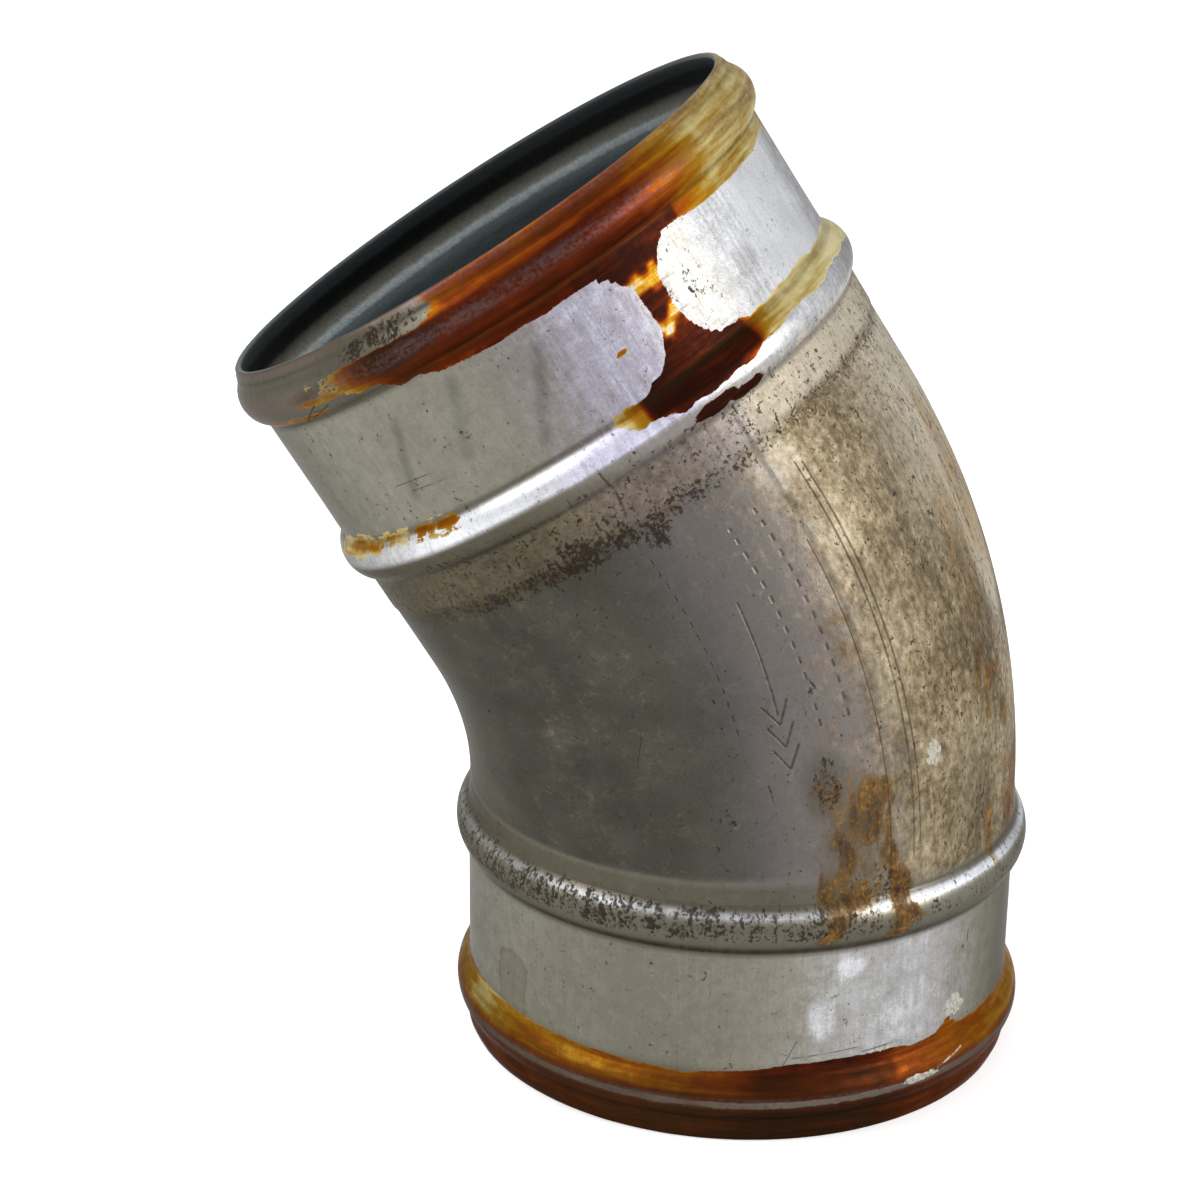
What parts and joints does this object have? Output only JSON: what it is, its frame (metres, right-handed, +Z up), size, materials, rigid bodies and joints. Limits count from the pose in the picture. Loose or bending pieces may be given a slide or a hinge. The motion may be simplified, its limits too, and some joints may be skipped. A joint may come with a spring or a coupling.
{
  "type": "corroded pipe elbow",
  "caption": "Short thin-wall steel duct elbow with a bead and band formed at each end for clamped joints, bare metal with rust stains at the rims",
  "frame": {"origin": "centre of the lower rim, on the floor the elbow stands on", "axes": "+Z up along the lower end's centre line; the pipe bends towards -X in the XZ plane; +Y is square to the bend"},
  "size_m": [0.1817, 0.1328, 0.2273],
  "materials": {
    "pipe_elbow": "bare formed steel, dulled, with rust stains"
  },
  "bodies": {
    "root": {"pipe_elbow": "pipe_elbow"}
  },
  "joints": []
}
